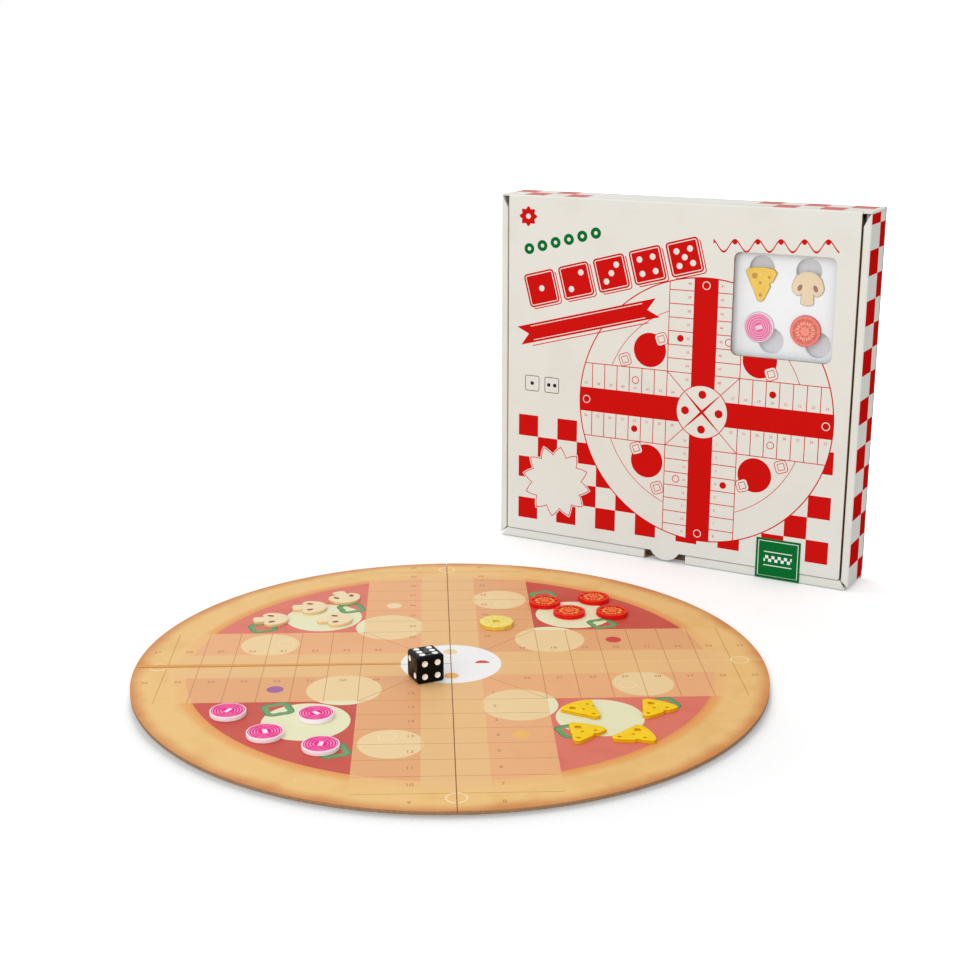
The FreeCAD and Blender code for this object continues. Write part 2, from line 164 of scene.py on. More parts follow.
class Field:
    """Number that varies over a surface or a row of points, with arithmetic."""

    def __init__(self, tree, socket):
        self.tree = tree
        self.socket = socket

    def apply(self, operation, *others):
        node = self.tree.nodes.new("ShaderNodeMath")
        node.operation = operation
        for slot, value in zip(node.inputs, (self, *others)):
            feed(self.tree, slot, value)
        return Field(self.tree, node.outputs[0])

    def __add__(self, other):
        return self.apply("ADD", other)

    def __sub__(self, other):
        return self.apply("SUBTRACT", other)

    def __mul__(self, other):
        return self.apply("MULTIPLY", other)

    def __truediv__(self, other):
        return self.apply("DIVIDE", other)

    def size(self):
        return self.apply("ABSOLUTE")

    def below(self, limit):
        return self.apply("LESS_THAN", limit)

    def above(self, limit):
        return self.apply("GREATER_THAN", limit)

    def between(self, low, high):
        return self.above(low) * self.below(high)

    def near(self, value, half):
        """One where the field is within half of a value."""
        return (self - value).size().below(half)

    def either(self, other):
        return self.apply("MAXIMUM", other)

    def least(self, other):
        return self.apply("MINIMUM", other)

    def outside(self):
        """One where a mask is zero."""
        return self * -1 + 1

    def cycle(self, pitch):
        return self.apply("FLOORED_MODULO", pitch)

    def even(self):
        """One where a whole number is even."""
        return self.cycle(2.0).below(0.5)

    def floor(self):
        return self.apply("FLOOR")

    def root(self):
        return self.apply("SQRT")

    def slope(self, start, end):
        """Smooth change from zero at start to one at end."""
        node = add_node(self.tree, "ShaderNodeMapRange", Value=self, From_Min=start, From_Max=end)
        node.interpolation_type = "SMOOTHSTEP"
        return Field(self.tree, node.outputs["Result"])


def distance(across, up):
    """Distance from zero of a point whose coordinates are two fields."""
    return (across * across + up * up).root()


class Sheet:
    """Flat drawing coordinates in millimetres, with the height off the sheet."""

    def __init__(self, tree, socket):
        self.tree = tree
        split = add_node(tree, "ShaderNodeSeparateXYZ", Vector=socket)
        flat = add_node(tree, "ShaderNodeCombineXYZ", X=split.outputs["X"], Y=split.outputs["Y"])
        self.socket = socket
        self.flat = flat.outputs[0]
        self.x = Field(tree, split.outputs["X"])
        self.y = Field(tree, split.outputs["Y"])
        self.z = Field(tree, split.outputs["Z"])

    def away(self, x=0.0, y=0.0):
        """Distance from a point of the sheet."""
        node = self.tree.nodes.new("ShaderNodeVectorMath")
        node.operation = "DISTANCE"
        for slot, value in zip(node.inputs, (self.flat, (x, y, 0))):
            feed(self.tree, slot, value)
        return Field(self.tree, node.outputs["Value"])

    def from_axes(self, reach):
        """Distance from the nearest of four points on the axes, at one reach from the middle."""
        wide_x, wide_y = self.x.size(), self.y.size()
        return distance(wide_x.either(wide_y) - reach, wide_x.least(wide_y))

    def turned(self, x, y, degrees):
        """The same sheet with its zero at a point and its axes turned."""
        node = add_node(self.tree, "ShaderNodeMapping", Vector=self.flat, Location=(x, y, 0),
                        Rotation=(0, 0, math.radians(degrees)))
        node.vector_type = "TEXTURE"
        return Sheet(self.tree, node.outputs[0])

    def angle(self):
        return self.y.apply("ARCTAN2", self.x)

    def noise(self, size, detail=3.0):
        """Even noise around one half, with features of the given size in millimetres."""
        node = add_node(self.tree, "ShaderNodeTexNoise", Vector=self.socket, Scale=1 / size, Detail=detail)
        return Field(self.tree, node.outputs["Fac"])


class Finish:
    """Material being built up in layers of ink over a base colour."""

    def __init__(self, name, colour, roughness, specular=0.5):
        self.material = bpy.data.materials.new(name)
        self.material.use_nodes = True
        self.tree = self.material.node_tree
        self.shader = self.tree.nodes["Principled BSDF"]
        self.shader.inputs["Roughness"].default_value = roughness
        self.shader.inputs["Specular IOR Level"].default_value = specular
        self.colour = colour

    def room_sheet(self, matrix):
        """Coordinates in millimetres in the frame of a matrix."""
        inverse = matrix.inverted()
        coords = self.tree.nodes.new("ShaderNodeTexCoord")
        node = add_node(self.tree, "ShaderNodeMapping", Vector=coords.outputs["Object"],
                        Location=inverse.translation / MM, Rotation=inverse.to_euler(),
                        Scale=(1 / MM, 1 / MM, 1 / MM))
        return Sheet(self.tree, node.outputs[0])

    def piece_sheet(self):
        """Coordinates in millimetres stored on the piece itself."""
        stored = self.tree.nodes.new("ShaderNodeAttribute")
        stored.attribute_name = "piece_mm"
        return Sheet(self.tree, stored.outputs["Vector"])

    def layer(self, colour, mask, strength=1.0):
        """Lay a colour over what is there, where the mask is one."""
        mix = add_node(self.tree, "ShaderNodeMix", Factor=mask * strength if strength < 1 else mask)
        mix.data_type = "RGBA"
        slots = [slot for slot in mix.inputs if slot.type == "RGBA"]
        for slot, value in zip(slots, (self.colour, colour)):
            feed(self.tree, slot, value)
        self.colour = next(slot for slot in mix.outputs if slot.type == "RGBA")

    def bump(self, field, height):
        """Fine relief from a field, with its height in millimetres."""
        node = add_node(self.tree, "ShaderNodeBump", Height=field, Strength=1.0, Distance=height * MM)
        normal = self.shader.inputs["Normal"]
        if normal.is_linked:
            feed(self.tree, node.inputs["Normal"], normal.links[0].from_socket)
        feed(self.tree, normal, node.outputs["Normal"])

    def rough(self, field, low, high):
        """Roughness that follows a field from low to high."""
        feed(self.tree, self.shader.inputs["Roughness"], field * (high - low) + low)

    def done(self):
        feed(self.tree, self.shader.inputs["Base Color"], self.colour)
        return self.material


# Board print

crust_tone = ink(234, 191, 122)
toast_tone = ink(200, 118, 56)
# Paler red with painted sheen, laid on two homes; the deeper red is the print's own
sauce_sheen_tone = ink(219, 116, 99)
deep_sauce_tone = ink(199, 78, 64)
cheese_tone = ink(230, 229, 190)
pepper_tone = ink(104, 156, 102)
pepper_skin = ink(78, 132, 82)
track_tone = ink(238, 194, 132)
lane_tone = ink(232, 190, 130)
line_tone = ink(148, 94, 50)
# Each side's colour, from the rear round by the left
spot_tones = {"mushroom": ink(238, 214, 168), "onion": ink(160, 96, 150), "cheese": ink(238, 182, 98),
              "tomato": ink(205, 66, 52)}
# One home's pale spots, one arm's, and one home's pepper rings, each a place from the middle with a size,
# which are turned to all four sides
home_spots = ((86, 86, 26),)
arm_spots = ((36, 118, 19), (-40, 66, 23))
pepper_rings = ((104, 68, 10), (68, 126, 10))
pepper_hole, pepper_flesh = 0.55, 0.9


def four_sides(spots):
    """The same spots, as places with a size, on all four sides of the board."""
    for quarter_turn in range(4):
        turn = Matrix.Rotation(math.radians(90 * quarter_turn), 2)
        for x, y, size in spots:
            yield *(turn @ Vector((x, y))), size


def pepper_edge(sheet, x, y, size):
    """Distance from the middle of a pepper ring, with four lobes to its outline."""
    ring = sheet.turned(x, y, 20)
    return ring.away() + (ring.angle() * 4).apply("COSINE") * (0.09 * size)


def track_lines(sheet, arm, pitch, half, corner_half):
    """Cell lines across the four arms of a track, and lines from its middle to the arms' corners."""
    wide_x, wide_y = sheet.x.size(), sheet.y.size()
    lines = (wide_x - wide_y).size().below(corner_half) * wide_x.below(arm)
    for along, across in ((wide_x, wide_y), (wide_y, wide_x)):
        cells = (along - arm + half).cycle(pitch).below(2 * half)
        lines = lines.either(cells * across.below(arm) * along.above(arm - half))
    return lines


def board_face():
    """Printed paper: toasted rim, four red homes, two of them paler with painted sheen, cross track and a
    white middle.
    """
    finish = Finish("board_print", crust_tone, 0.4, specular=0.15)
    sheet = finish.room_sheet(board_place)
    x, y = sheet.x, sheet.y
    reach = sheet.away()
    # Mottled and streaked rim, toasted at its outer and inner edge, round the red
    mottle = sheet.noise(26.0)
    streaks = sheet.noise(5.0, 4.0)
    finish.layer(ink(224, 174, 102), mottle.slope(0.45, 0.7), 0.45)
    finish.layer(ink(240, 204, 138), streaks.slope(0.55, 0.75), 0.35)
    finish.layer(toast_tone, (reach + mottle * 8).slope(193, 206), 0.9)
    finish.layer(ink(226, 152, 78), reach.slope(crust_inner + 10, crust_inner + 3), 0.75)
    finish.layer(ink(222, 134, 66), reach.slope(crust_inner + 3, crust_inner), 0.6)
    # Painted sheen: the paler red stays on the homes at rear left and front right, and the print's deeper red
    # covers the other two
    finish.layer(sauce_sheen_tone, reach.below(crust_inner))
    finish.layer(deep_sauce_tone, (x * y).above(0.0) * reach.below(crust_inner))
    finish.layer(ink(180, 54, 46), mottle.slope(0.5, 0.75) * reach.below(crust_inner), 0.3)
    inside = reach.below(crust_inner - 2)
    for spot_x, spot_y, radius in four_sides(home_spots + arm_spots):
        finish.layer(cheese_tone, sheet.away(spot_x, spot_y).below(radius) * inside)
    for ring in four_sides(pepper_rings):
        edge = pepper_edge(sheet, *ring)
        finish.layer(pepper_tone, edge.between(pepper_hole * ring[2], ring[2]))
        finish.layer(pepper_skin, edge.between(pepper_flesh * ring[2], ring[2]))
    # Cross track laid over the picture
    wide_x, wide_y = x.size(), y.size()
    off_axis = wide_x.least(wide_y)
    picture = reach.slope(crust_inner + 16, crust_inner + 2)
    finish.layer(track_tone, off_axis.below(arm_half) * picture, 0.66)
    finish.layer(lane_tone, off_axis.below(lane_half) * picture, 0.8)
    finish.layer(line_tone, track_lines(sheet, arm_half, cell_pitch, half=0.24, corner_half=0.34), 0.6)
    finish.layer(ink(242, 243, 242), reach.below(home_radius))
    # Coloured spots: one in the middle and one at the start of each side's run
    start = arm_half + 2.5 * cell_pitch
    side_lane = (lane_half + arm_half) / 2
    home_reach, home_size, start_size = 20, 4.6, 5.2
    end_reach, end_size, ring_half = board_radius - 15, 5.6, 0.35
    home_marks = four_sides(((0, home_reach, home_size),))
    start_marks = four_sides(((-side_lane, start, start_size),))
    for kind, (home_x, home_y, _), (start_x, start_y, _) in zip(spot_tones, home_marks, start_marks):
        home = sheet.away(home_x, home_y).below(home_size)
        finish.layer(spot_tones[kind], home * y.above(0.0) if kind == "tomato" else home)
        finish.layer(spot_tones[kind], sheet.away(start_x, start_y).below(start_size))
        finish.layer(ink(250, 226, 190), sheet.away(-start_x, start_y).near(start_size, ring_half), 0.55)
    finish.layer(ink(250, 222, 180), sheet.from_axes(end_reach).near(end_size, ring_half))
    # Painted shade of the slit's cut edge, widest at the left rim, and of the gap along the fold from rear to
    # front, both with ragged edges; a paler line along the right-hand fold
    ragged_noise = sheet.noise(3.0)
    slit = x * -0.011 + 1.3
    slit_shade = ((y - 1.2).size() + ragged_noise * 0.6).below(slit) * x.below(0.0)
    # Painted shade of the slit's cut edge
    finish.layer(ink(222, 150, 66), slit_shade * reach.above(home_radius), 0.85)
    finish.layer(ink(250, 216, 160), (wide_y + ragged_noise * 1.4).below(1.1) * x.above(home_radius), 0.5)
    # Painted shade of the gap along the fold from rear to front
    finish.layer(ink(180, 110, 56), (wide_x + ragged_noise * 0.5).below(0.6), 0.8)
    finish.bump(sheet.noise(0.35, 2.0), 0.012)
    finish.bump(sheet.noise(60.0, 1.0), 0.25)
    finish.rough(sheet.noise(9.0), 0.34, 0.5)
    return finish.done()


def greyboard():
    """Board edge: layered grey-brown pulp under the wrapped print."""
    finish = Finish("greyboard", ink(150, 118, 88), 0.85)
    sheet = finish.room_sheet(board_place)
    fibre = sheet.noise(1.6, 6.0)
    finish.layer(ink(118, 88, 62), fibre.slope(0.4, 0.7), 0.7)
    finish.layer(ink(186, 150, 112), (sheet.z * 2.2 + fibre).cycle(1.0).slope(0.35, 0.65), 0.35)
    finish.bump(fibre, 0.05)
    return finish.done()


def lining():
    """Plain off-white paper on the board's underside."""
    finish = Finish("lining_paper", ink(232, 228, 218), 0.7)
    sheet = finish.room_sheet(board_place)
    finish.layer(ink(214, 208, 196), sheet.noise(14.0, 5.0).slope(0.45, 0.75), 0.4)
    finish.bump(sheet.noise(0.5, 3.0), 0.02)
    return finish.done()


# Carton print

card_tone = ink(231, 231, 224)
red_tone = ink(206, 17, 14)
green_tone = ink(0, 109, 44)
kraft_tone = ink(146, 104, 66)
check_size = 16.9
# Depth behind a printed face at which its print ends, a little more than rounding
print_skin = 0.06

# Slant of the lid's dice, ribbon and rings, in degrees
lid_slant = 15

# Round drawing on the lid: middle from the lid's lower left corner, radius, and half widths of its track
lid_circle = (162.0, 111.5)
drawn_radius, drawn_arm, drawn_bar = 99.5, 28.3, 9.3


def carton_finish(name, specular=0.03):
    """Coated white corrugated sheet with a faint wave from its flutes."""
    finish = Finish(name, card_tone, 0.5, specular)
    sheet = finish.room_sheet(carton)
    finish.layer(ink(221, 219, 209), sheet.noise(38.0).slope(0.45, 0.75), 0.3)
    wave = (sheet.y * (2 * math.pi / flute_pitch)).apply("SINE")
    finish.bump(wave, 0.012)
    finish.bump(sheet.noise(55.0, 1.0), 0.5)
    finish.bump(sheet.noise(0.4, 2.0), 0.012)
    finish.rough(sheet.noise(7.0), 0.42, 0.58)
    return finish, sheet


def rounded_square(sheet_x, sheet_y, half, corner):
    """Zero inside a square, and the distance past it near its rounded edge."""
    over_x = (sheet_x.size() - (half - corner)).either(0.0)
    over_y = (sheet_y.size() - (half - corner)).either(0.0)
    return distance(over_x, over_y)


def lid_checks(finish, lid, circle):
    """Band of red squares along the lid's lower edge, behind the round drawing."""
    left, low = 9.6, 8.8
    columns, rows = 15, 5
    column = ((lid.x - left) / check_size).floor()
    row = ((lid.y - low) / check_size).floor()
    band = lid.x.between(left, left + columns * check_size) * lid.y.between(low, low + rows * check_size)
    finish.layer(red_tone, (column + row).even() * band * circle.away().above(drawn_radius))


def lid_burst(finish, lid):
    """Bare white burst over the squares, with a thin red edge."""
    burst = lid.turned(43, 42, 8)
    points, depth, size, line = 12, 14.0, 30.0, 28.6
    wave = (burst.angle() * (points / (2 * math.pi))).cycle(1.0) - 0.5
    edge = burst.away() + wave.size() * depth
    finish.layer(card_tone, edge.below(size))
    finish.layer(red_tone, edge.near(line, 0.45))


def lid_track(finish, circle):
    """Line drawing of the round board: rings, cross track and middle."""
    radius, inner, arm, bar = drawn_radius, 78.5, drawn_arm, drawn_bar
    line, ring_half, middle = 0.32, 0.3, 20.0
    reach = circle.away()
    inside = reach.below(radius)
    wide_x, wide_y = circle.x.size(), circle.y.size()
    off_axis = wide_x.least(wide_y)
    off_arms = off_axis.below(arm).outside()
    homes = off_arms * reach.below(inner)
    scale = radius / board_radius
    for spot_x, spot_y, size in four_sides(home_spots):
        finish.layer(red_tone, circle.away(spot_x * scale, spot_y * scale).below(size * scale) * homes)
    for ring in four_sides(pepper_rings):
        drawn = [measure * scale for measure in ring]
        edge = pepper_edge(circle, *drawn)
        finish.layer(card_tone, edge.below(drawn[2]))
        hole = edge.near(pepper_hole * drawn[2], ring_half)
        finish.layer(red_tone, edge.near(drawn[2], ring_half).either(hole))
    pitch = (radius - arm) / cell_count
    sides = wide_x.near(arm, line).either(wide_y.near(arm, line))
    bars = off_axis.below(bar)
    track = sides.either(track_lines(circle, arm, pitch, line, corner_half=0.4)).either(bars) * inside
    rims = reach.near(radius, 0.45).either(reach.near(inner, 0.25) * off_arms)
    finish.layer(red_tone, track.either(rims))
    end_reach, end_size, start_size = 94, 2.8, 2.6
    finish.layer(card_tone, circle.from_axes(end_reach).near(end_size, ring_half))
    start = arm + 2.5 * pitch
    side_lane = (arm + bar) / 2
    for spot_x, spot_y, size in four_sides(((-side_lane, start, start_size),)):
        finish.layer(red_tone, circle.away(spot_x, spot_y).below(size))
        finish.layer(red_tone, circle.away(-spot_x, spot_y).near(size, ring_half))
    finish.layer(card_tone, reach.below(middle))
    crossed = (wide_x - wide_y).size().below((reach * -0.06) + 1.5) * reach.below(middle - 1)
    dot_reach, dot_size = 13.2, 3.1
    dots = circle.from_axes(dot_reach).below(dot_size)
    finish.layer(red_tone, reach.near(middle, 0.35).either(crossed).either(dots))


def lid_dice(finish, lid):
    """Slanting row of die faces, one to five, with a shadow line."""
    pitch, half, corner, count = 30.0, 13.0, 3.0, 5
    shadow_shift, pip, diagonal = 1.8, 2.3, 7.6
    row = lid.turned(14.0, 190.0, lid_slant)
    index = (row.x / pitch).floor()
    across = row.x.cycle(pitch) - pitch / 2
    shown = index.between(-0.5, count - 0.5)
    shadow = rounded_square(across - shadow_shift, row.y + shadow_shift, half, corner)
    finish.layer(red_tone, shadow.between(2.1, 2.9) * shown)
    face = rounded_square(across, row.y, half, corner)
    finish.layer(card_tone, face.below(corner + 0.6) * shown)
    finish.layer(red_tone, face.below(corner) * shown)
    finish.layer(card_tone, face.between(1.0, 1.7) * shown)
    slant = (across + row.y).size() * math.sqrt(0.5)
    cross = (across - row.y).size() * math.sqrt(0.5)
    centre = distance(across, row.y).below(pip) * index.even()
    first = distance(slant - diagonal, cross).below(pip) * index.above(0.5)
    second = distance(cross - diagonal, slant).below(pip) * index.above(2.5)
    finish.layer(card_tone, centre.either(first).either(second) * shown)


def lid_ribbon(finish, lid):
    """Plain red ribbon with forked ends, and a row of green rings above the dice."""
    ribbon = lid.turned(67.0, 171.0, lid_slant)
    half_width, half_length = 7.2, 51
    wide_x, wide_y = ribbon.x.size(), ribbon.y.size()
    finish.layer(red_tone, wide_y.below(half_width) * wide_x.below(wide_y * 1.2 + half_length))
    finish.layer(red_tone, ribbon.y.near(-9.6, 0.35) * wide_x.below(half_length - 1))
    finish.layer(card_tone, wide_y.near(5.4, 0.3) * wide_x.below(half_length - 3))
    row = lid.turned(12.0, 222.0, lid_slant)
    pitch, count = 11.5, 6
    rings = distance(row.x.cycle(pitch) - pitch / 2, row.y)
    finish.layer(green_tone, rings.between(1.5, 4.2) * row.x.between(0, count * pitch))


def lid_ornaments(finish, lid):
    """Small plain ornaments: a rosette, a wavy garland with dots, and two framed tiles with spots."""
    height = lid_high.y - lid_foot
    dark_tone = ink(44, 42, 40)
    rosette = lid.turned(16.5, height - 16.0, 0)
    edge = rosette.away() - (rosette.angle() * 8).apply("COSINE") * 0.9
    finish.layer(red_tone, edge.below(6.6))
    finish.layer(card_tone, rosette.away().below(2.0))
    garland = lid.turned(212.0, height - 27.0, 3)
    wavelength, swing, half_length = 17.0, 4.2, 46.0
    turn = garland.x * (2 * math.pi / wavelength)
    wave = (garland.y - turn.apply("SINE") * swing).size().below(0.75)
    beside = (garland.x + wavelength / 4).cycle(wavelength) - wavelength / 2
    dots = distance(beside, garland.y - 2.6).below(1.7)
    finish.layer(red_tone, wave.either(dots) * garland.x.size().below(half_length))
    for tile_x, spots in ((21.0, (0.0,)), (38.0, (-2.6, 2.6))):
        tile = lid.turned(tile_x, 119.0, 0)
        finish.layer(dark_tone, rounded_square(tile.x, tile.y, 6.2, 1.6).between(1.1, 1.6))
        for spot in spots:
            finish.layer(dark_tone, tile.away(spot, 0).below(1.5))


def lid_print():
    """Outer face of the lid, with bare kraft on its edges and underside."""
    finish, sheet = carton_finish("lid_print")
    lid = sheet.turned(lid_low.x, lid_foot, 0)
    circle = lid.turned(*lid_circle, 0)
    lid_checks(finish, lid, circle)
    lid_burst(finish, lid)
    lid_track(finish, circle)
    lid_dice(finish, lid)
    lid_ribbon(finish, lid)
    lid_ornaments(finish, lid)
    crease = sheet.y.above(lid_high.y - sheet_thickness)
    under = sheet.z.below(carton_depth - print_skin) * crease.outside()
    kraft_edges(finish, sheet, under.either(sheet.z.below(lid_low.z + print_skin)))
    return finish.done()


def kraft_edges(finish, sheet, mask):
    """Bare brown board where the sheet is cut or faces inwards."""
    finish.layer(kraft_tone, mask)
    finish.layer(ink(112, 76, 46), mask * sheet.noise(1.2, 5.0).slope(0.45, 0.75), 0.6)


def side_print():
    """Side walls: two columns of red squares over the outer face, the rear one narrower."""
    finish, sheet = carton_finish("side_print", specular=0.0)
    outer = sheet.x.below(print_skin).either(sheet.x.above(carton_size.x - print_skin))
    row_height, front_width, rolled_edge = 17.6, 23.0, 1.2
    row = (sheet.y / row_height).floor()
    front = sheet.z.above(carton_depth - front_width)
    finish.layer(red_tone, (row + front).even() * outer * sheet.z.below(carton_depth - rolled_edge))
    kraft_edges(finish, sheet, sheet.y.above(carton_box("box_left_wall")[1].y - print_skin))
    return finish.done()


def back_print():
    """Back wall, on top as the carton stands: two rows of squares near both ends, bare between."""
    finish, sheet = carton_finish("back_print")
    outer = sheet.y.above(carton_size.y - 1.7)
    front_width = 19.0
    front = sheet.z.above(carton_depth - front_width)
    for end, columns in ((sheet.x - 2.0, 4), (sheet.x * -1 + (carton_size.x - 4.0), 5)):
        column = (end / check_size).floor()
        finish.layer(red_tone, (column + front).even() * column.between(-0.5, columns - 0.5) * outer, 0.8)
    kraft_edges(finish, sheet, outer.outside())
    return finish.done()


def plain_card():
    """Base and front wall, with bare kraft inside and on the cut edge of the thumb notch."""
    finish, sheet = carton_finish("plain_card")
    notch_half, notch_depth = 17.2, 8.2
    front_low, front_high = carton_box("box_front_wall")
    notch = sheet.x.near(carton_size.x / 2, notch_half) * sheet.z.above(front_high.z - notch_depth)
    cut = notch * sheet.z.below(front_high.z - 0.2) * sheet.y.between(front_low.y + 0.1, front_high.y - 0.1)
    kraft_edges(finish, sheet, cut.either(sheet.z.between(print_skin, 1.85) * sheet.y.above(6.0)))
    return finish.done()


def kraft_card():
    """Bare brown card."""
    finish = Finish("kraft_card", kraft_tone, 0.85)
    sheet = finish.room_sheet(carton)
    finish.layer(ink(116, 80, 48), sheet.noise(1.5, 6.0).slope(0.4, 0.75), 0.6)
    finish.bump(sheet.noise(0.6, 4.0), 0.04)
    return finish.done()


def seal_print():
    """Green paper seal with a thin white frame line, and a band of small white checks between two lines."""
    finish = Finish("seal_print", green_tone, 0.35, specular=0.06)
    sheet = finish.room_sheet(carton)
    white = ink(238, 242, 238)
    low, high = carton_box("seal_label")
    centre = sheet.turned((low.x + high.x) / 2, (low.y + high.y) / 2, 0)
    half_x, half_y = (high.x - low.x) / 2, (high.y - low.y) / 2
    finish.layer(ink(12, 92, 46), sheet.noise(11.0).slope(0.45, 0.75), 0.35)
    inset = (centre.x.size() * -1 + half_x).least(centre.y.size() * -1 + half_y)
    finish.layer(white, inset.between(1.7, 2.2) * centre.y.above(-half_y + 2.0))
    check, line_reach = 2.4, 5.2
    band = ((centre.x / check).floor() + (centre.y / check).floor()).even() * centre.y.size().below(check)
    lines = centre.y.size().near(line_reach, 0.35)
    finish.layer(white, band.either(lines) * centre.x.size().below(4.5 * check))
    finish.bump(sheet.noise(0.5, 2.0), 0.008)
    return finish.done()


def film_finish():
    """Clear film with a slight haze."""
    finish = Finish("window_film", ink(250, 250, 252), 0.12)
    finish.shader.inputs["Alpha"].default_value = 0.06
    sheet = finish.room_sheet(carton)
    finish.bump(sheet.noise(30.0, 1.0), 0.3)
    return finish.done()


def tray_finish():
    """White formed plastic, with painted shade down in the hollows."""
    finish = Finish("tray_plastic", ink(245, 251, 255), 0.32)
    sheet = finish.room_sheet(carton)
    top = carton_box("tray")[1].z
    hollow_top, hollow_floor = top - 0.5, top - 7.0
    # Painted shade on the floors of the hollows
    finish.layer(ink(208, 208, 216), sheet.z.between(hollow_floor, hollow_top), 0.72)
    finish.bump(sheet.noise(2.5, 2.0), 0.02)
    finish.rough(sheet.noise(12.0), 0.26, 0.4)
    return finish.done()


# Playing piece finishes, drawn in each piece's own coordinates

def moulded(name, colour):
    """Dull moulded plastic with a fine grain."""
    finish = Finish(name, colour, 0.42, specular=0.07)
    sheet = finish.piece_sheet()
    finish.bump(sheet.noise(0.5, 3.0), 0.015)
    finish.rough(sheet.noise(3.0), 0.36, 0.52)
    return finish, sheet


def tomato_finish(name, skin, flesh_tone, pocket_tone, rim_tone):
    """Slice with a bright rim, lighter core and spokes, and darker pockets."""
    finish, sheet = moulded(name, skin)
    reach = sheet.away()
    top = piece_height("tomato_1")
    flesh = reach.below(token_size * 0.405)
    finish.layer(flesh_tone, flesh * sheet.z.above(top - 0.25), 0.9)
    finish.layer(pocket_tone, flesh * sheet.z.between(top - relief - 0.1, top - 0.25))
    bright_rim = reach.near(token_size * 0.45, token_size * 0.03) * sheet.z.above(top - 0.05)
    finish.layer(rim_tone, bright_rim, 0.6)
    return finish.done()


def onion_finish(name, tone):
    """White slice with a pink top, and white rings and a white bar in its grooves."""
    finish, sheet = moulded(name, ink(246, 236, 242))
    reach = sheet.away()
    top = piece_height("onion_1")
    pink = reach.below(token_size * 0.455) * sheet.z.above(top - relief)
    finish.layer(tone, pink)
    finish.layer(ink(246, 66, 170), pink * sheet.noise(5.0).slope(0.5, 0.75), 0.15)
    rings = sheet.z.between(top - 0.17, top - 0.03)
    for share in (0.19, 0.27, 0.345, 0.415):
        rings = rings.either(reach.near(token_size * share, 0.2) * sheet.z.below(top - 0.1))
    bar = sheet.x.size().below(token_size * 0.13) * sheet.y.size().below(token_size * 0.065)
    finish.layer(ink(250, 226, 240), pink * rings.either(bar))
    return finish.done()


def mushroom_finish():
    """Cream slice with brown gills in its dents."""
    finish, sheet = moulded("mushroom_plastic", ink(240, 218, 180))
    top = piece_height("mushroom_1")
    finish.layer(ink(230, 192, 128), sheet.z.below(top - 0.45), 0.7)
    gills = sheet.x.size().between(token_size * 0.12, token_size * 0.42)
    gills = gills * sheet.y.between(-token_size * 0.14, token_size * 0.16)
    inside = sheet.z.between(top - relief - 0.1, top - 0.12)
    finish.layer(ink(168, 116, 80), gills * inside)
    comb = (sheet.x * (2 * math.pi / 1.1)).apply("SINE").above(0.1)
    finish.layer(ink(116, 70, 46), gills * inside * comb, 0.7)
    return finish.done()


def cheese_finish():
    """Yellow wedge with deeper yellow dents and sides."""
    finish, sheet = moulded("cheese_plastic", ink(246, 204, 22))
    top = piece_height("cheese_1")
    finish.layer(ink(218, 152, 12), sheet.z.below(top - 0.3), 0.55)
    dents = sheet.z.between(top - relief - 0.1, top - 0.3)
    finish.layer(ink(176, 112, 14), dents, 0.6)
    finish.layer(ink(250, 220, 70), sheet.noise(4.0).slope(0.5, 0.72) * sheet.z.above(top - 0.1), 0.35)
    return finish.done()


def pineapple_finish():
    """Pale yellow ring with a deeper middle and grooves."""
    finish, sheet = moulded("pineapple_plastic", ink(240, 222, 116))
    top = piece_height("pineapple")
    finish.layer(ink(228, 186, 52), sheet.z.below(top - 0.12), 0.75)
    finish.layer(ink(246, 234, 158), sheet.noise(2.0).slope(0.5, 0.7) * sheet.z.above(top - 0.1), 0.5)
    return finish.done()


def die_finish():
    """Black plastic with white painted pips."""
    finish = Finish("die_plastic", ink(7, 7, 8), 0.28, specular=0.08)
    sheet = finish.piece_sheet()
    half = die_size / 2
    wide_x, wide_y, wide_z = sheet.x.size(), sheet.y.size(), (sheet.z - half).size()
    most = wide_x.either(wide_y).either(wide_z)
    least = wide_x.least(wide_y).least(wide_z)
    second = wide_x + wide_y + wide_z - most - least
    finish.layer(ink(245, 244, 240), most.below(half - 0.012) * second.below(die_size * 0.385))
    finish.bump(sheet.noise(1.2, 2.0), 0.01)
    return finish.done()


# Pieces

def new_piece(name, data):
    """Object in the scene for a mesh, a lamp or a camera."""
    piece = bpy.data.objects.new(name, data)
    bpy.context.scene.collection.objects.link(piece)
    return piece


def evaluated(piece):
    """Plain mesh of a piece with its modifiers applied."""
    graph = bpy.context.evaluated_depsgraph_get()
    return bpy.data.meshes.new_from_object(piece.evaluated_get(graph))


def board_spot(x, y, z=0.0):
    """Place in the room of a point in millimetres from the board's middle."""
    return board_middle + Vector((x, y, z)) * MM


def place_matrix(x, y, degrees):
    """Where a piece stands on the board, from its place in board radii and its turn."""
    spot = board_spot(x * board_radius, y * board_radius, board_top / MM)
    return Matrix.Translation(spot) @ Matrix.Rotation(math.radians(degrees), 4, "Z")


